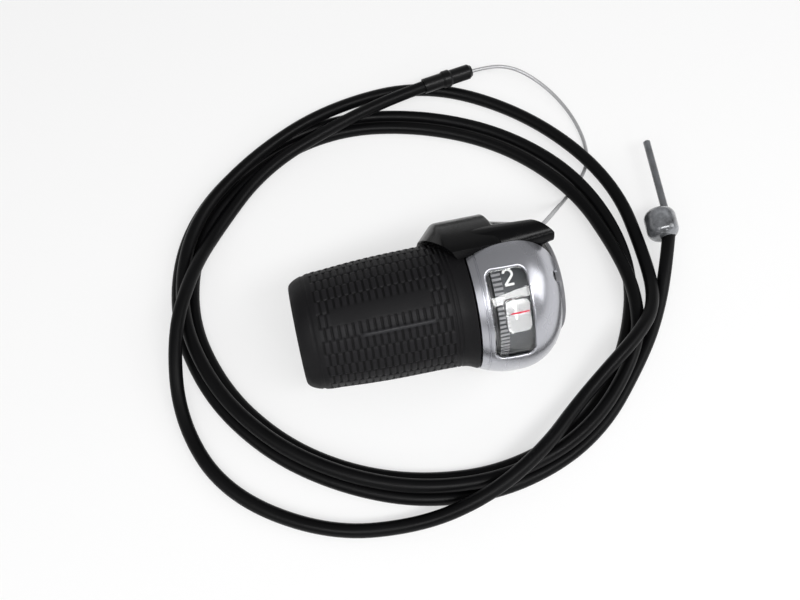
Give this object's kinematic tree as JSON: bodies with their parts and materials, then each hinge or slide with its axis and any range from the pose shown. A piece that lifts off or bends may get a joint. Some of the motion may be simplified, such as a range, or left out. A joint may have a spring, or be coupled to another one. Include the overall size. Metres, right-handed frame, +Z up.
{
  "type": "twist grip shifter",
  "caption": "Handlebar twist shifter with a ribbed rubber grip, a silver cover with a window over a numbered drum, and a coiled gear cable with its casing.",
  "frame": {"origin": "on the handlebar bore's axis, at the end face of the clamp collar", "axes": "+X along the handlebar bore, out of the clamp collar; +Z up, away from the surface it lies on"},
  "size_m": [0.1629, 0.1473, 0.0423],
  "materials": {
    "housing_black": "semi-gloss moulded",
    "cover_silver": "satin silver paint",
    "lens_clear": "clear, polished",
    "grip_rubber": "matt, ribbed",
    "inner_plastic": "smooth moulded",
    "drum_plastic": "smooth moulded, printed numbers",
    "steel_plain": "bright zinc",
    "wire_steel": "drawn and stranded",
    "lead_tube": "smooth",
    "ferrule_black": "satin moulded",
    "casing_black": "smooth jacket",
    "anchor_grey": "glossy grey"
  },
  "bodies": {
    "housing": {"housing_base": "housing_black", "window_cover": "cover_silver", "window_lens": "lens_clear", "thrust_washer": "inner_plastic", "detent_spring": "steel_plain", "clamp_screw": "steel_plain", "clamp_nut": "steel_plain", "clamp_shoe": "steel_plain", "cover_screws": "steel_plain", "wire_lead": "lead_tube", "inner_wire": "wire_steel", "casing_ferrule": "ferrule_black", "cable_casing": "casing_black", "anchor_barrel": "anchor_grey", "anchor_rod": "anchor_grey"},
    "grip": {"twist_tube": "inner_plastic", "grip_sleeve": "grip_rubber", "number_drum": "drum_plastic", "cable_nipple": "steel_plain", "wire_wrap": "wire_steel"}
  },
  "joints": [
    {"name": "grip_twist", "type": "hinge", "parent": "housing", "child": "grip", "pos_m": [0, 0, 0], "axis": [1, 0, 0], "range_deg": [0, 58], "deforming": ["detent_spring"]}
  ]
}
